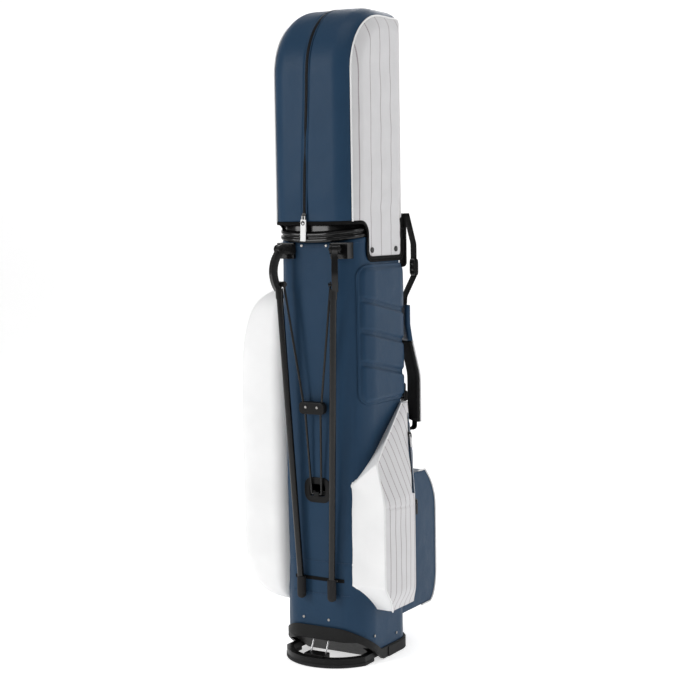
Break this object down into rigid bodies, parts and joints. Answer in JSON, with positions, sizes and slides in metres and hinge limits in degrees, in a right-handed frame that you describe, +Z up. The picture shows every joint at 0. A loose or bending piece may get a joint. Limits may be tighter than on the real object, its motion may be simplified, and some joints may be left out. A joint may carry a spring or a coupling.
{
  "type": "golf stand bag",
  "caption": "Golf stand bag with folding legs worked by a foot pedal, divided top, removable zipped rain hood, padded shoulder strap and side pockets.",
  "frame": {"origin": "on the ground under the tube's axis, on the flat part of the boot", "axes": "+Z up, legs and pedal on -Y, ball pocket on +Y, hip pad and striped pocket on +X, large pocket on -X"},
  "size_m": [0.3439, 0.3682, 1.2856],
  "materials": {
    "navy_pu": "satin synthetic leather, navy, fine grain",
    "white_pu": "satin synthetic leather, white",
    "pinstripe": "light polyester cloth with thin vertical grey stitched stripes",
    "black_binding": "black woven binding",
    "white_piping": "white bound piping",
    "black_gloss_plastic": "gloss black moulded plastic",
    "black_plastic": "satin black moulded plastic",
    "grey_rubber": "matt dark rubber",
    "leg_tube_black": "gloss black coated tube",
    "black_wire": "black coated steel wire",
    "bare_steel": "bright steel wire and rivets",
    "black_webbing": "black ribbed webbing",
    "white_tag": "white moulded pull tag",
    "divider_cloth": "black divider cloth",
    "stay": "grey stiffening batten"
  },
  "bodies": {
    "bag": {"body_shell": "navy_pu", "side_bindings": "black_binding", "stays": "stay", "top_cuff": "black_gloss_plastic", "divider_grid": "black_plastic", "divider_panels": "divider_cloth", "base_boot": "black_plastic", "heel_bumper": "grey_rubber", "pedal_pins": "bare_steel", "slot_plate": "black_plastic", "leg_bracket_right": "black_gloss_plastic", "leg_bracket_left": "black_gloss_plastic", "hinge_pins": "bare_steel", "leg_keeper": "black_webbing", "body_rivets": "bare_steel", "right_pocket": "pinstripe", "right_pocket_piping": "white_piping", "left_pocket": "white_pu", "ball_pocket": "navy_pu", "ball_pocket_piping": "white_piping", "small_pocket": "navy_pu", "pocket_zip_chains": "black_plastic", "hip_pad": "navy_pu", "rear_handle": "black_plastic"},
    "leg_left": {"leg_head_left": "black_gloss_plastic", "leg_tube_left": "leg_tube_black", "leg_foot_left": "grey_rubber"},
    "leg_right": {"leg_head_right": "black_gloss_plastic", "leg_tube_right": "leg_tube_black", "leg_foot_right": "grey_rubber"},
    "pedal": {"pedal_frame": "black_plastic", "pedal_sole": "grey_rubber", "wire_block": "black_plastic", "pedal_links": "bare_steel"},
    "wires": {"push_wires": "bare_steel", "wire_yoke": "black_plastic"},
    "rod_frame": {"lower_wires": "black_wire", "wire_clip": "black_plastic", "clip_rivets": "bare_steel"},
    "rod_left": {"rod_left": "black_wire"},
    "rod_right": {"rod_right": "black_wire"},
    "hood": {"hood_band": "navy_pu", "hood_side_right": "pinstripe", "hood_side_left": "pinstripe", "hood_pipings": "white_piping", "hood_hem": "black_binding", "hood_snaps": "black_gloss_plastic", "hood_zip_chain": "navy_pu"},
    "hood_slider": {"hood_slider": "black_gloss_plastic"},
    "hood_tag": {"hood_tag": "white_tag"},
    "right_slider": {"right_pocket_slider": "black_gloss_plastic"},
    "right_puller": {"right_pocket_puller": "bare_steel"},
    "left_slider": {"left_pocket_slider": "black_gloss_plastic"},
    "left_puller": {"left_pocket_puller": "black_plastic"},
    "ball_slider": {"ball_pocket_slider": "black_gloss_plastic"},
    "ball_puller": {"ball_pocket_puller": "black_plastic"},
    "strap": {"strap_webbing": "black_webbing", "strap_buckles": "black_plastic", "strap_end_cover": "navy_pu", "strap_pad": "white_pu"}
  },
  "joints": [
    {"name": "leg_left_swing", "type": "hinge", "parent": "bag", "child": "leg_left", "pos_m": [-0.062, -0.128, 0.818], "axis": [-0.8829, 0.4695, 0], "range_deg": [0, 30], "stiffness_Nm_per_rad": 1.5, "springref_deg": -6.88},
    {"name": "leg_right_swing", "type": "hinge", "parent": "bag", "child": "leg_right", "pos_m": [0.062, -0.128, 0.818], "axis": [-0.8829, -0.4695, 0], "range_deg": [0, 30]},
    {"name": "pedal_tilt", "type": "hinge", "parent": "bag", "child": "pedal", "pos_m": [0, -0.018, 0.009], "axis": [-1, 0, 0], "range_deg": [0, 11]},
    {"name": "wires_slide", "type": "slide", "parent": "bag", "child": "wires", "axis": [0, 0, 1], "range_m": [0, 0.01424]},
    {"name": "rod_frame_tilt", "type": "hinge", "parent": "wires", "child": "rod_frame", "pos_m": [0, -0.1095, 0.338], "axis": [1, 0, 0], "range_deg": [0, 4.27]},
    {"name": "rod_left_pivot", "type": "hinge", "parent": "leg_left", "child": "rod_left", "pos_m": [-0.05314, -0.13158, 0.75], "axis": [0.8616, -0.5077, -0.0008], "range_deg": [0, 35.55]},
    {"name": "rod_right_pivot", "type": "hinge", "parent": "leg_right", "child": "rod_right", "pos_m": [0.05314, -0.13158, 0.75], "axis": [0.8616, 0.5077, 0.0008], "range_deg": [0, 35.55]},
    {"name": "hood_lift", "type": "slide", "parent": "bag", "child": "hood", "axis": [0, 0, 1], "range_m": [0, 0.45]},
    {"name": "hood_zip_slide", "type": "slide", "parent": "hood", "child": "hood_slider", "axis": [0.0391, 0, 0.9992], "range_m": [0, 0.26]},
    {"name": "hood_tag_flip", "type": "hinge", "parent": "hood_slider", "child": "hood_tag", "pos_m": [-0.01169, -0.1216, 0.88099], "axis": [-0.9992, 0, 0.0391], "range_deg": [0, 100]},
    {"name": "right_zip_slide", "type": "slide", "parent": "bag", "child": "right_slider", "axis": [0.2153, -0.2569, -0.9421], "range_m": [0, 0.1]},
    {"name": "right_puller_flip", "type": "hinge", "parent": "right_slider", "child": "right_puller", "pos_m": [0.12516, 0.04918, 0.44191], "axis": [-0.0573, -0.9664, 0.2505], "range_deg": [0, 100]},
    {"name": "left_zip_slide", "type": "slide", "parent": "bag", "child": "left_slider", "axis": [0, 0, -1], "range_m": [0, 0.425]},
    {"name": "left_puller_flip", "type": "hinge", "parent": "left_slider", "child": "left_puller", "pos_m": [-0.15, 0.0676, 0.608], "axis": [1, 0, 0], "range_deg": [0, 100]},
    {"name": "ball_zip_slide", "type": "slide", "parent": "bag", "child": "ball_slider", "axis": [0, 0, -1], "range_m": [0, 0.165]},
    {"name": "ball_puller_flip", "type": "hinge", "parent": "ball_slider", "child": "ball_puller", "pos_m": [0.0976, 0.123, 0.29], "axis": [0, -1, 0], "range_deg": [0, 100]},
    {"name": "strap_swing", "type": "hinge", "parent": "bag", "child": "strap", "pos_m": [0.08036, 0.09496, 0.532], "axis": [0.027, 0.0322, 0.9991], "range_deg": [-2, 7]}
  ],
  "couplings": [
    {"joint": "leg_right_swing", "follows": "leg_left_swing", "ratio": 1},
    {"joint": "pedal_tilt", "follows": "leg_left_swing", "ratio": 0.36333},
    {"joint": "wires_slide", "follows": "leg_left_swing", "m_per_rad": 0.027008},
    {"joint": "rod_frame_tilt", "follows": "leg_left_swing", "ratio": 0.14176},
    {"joint": "rod_left_pivot", "follows": "leg_left_swing", "ratio": 1.1832},
    {"joint": "rod_right_pivot", "follows": "leg_left_swing", "ratio": 1.1832}
  ]
}
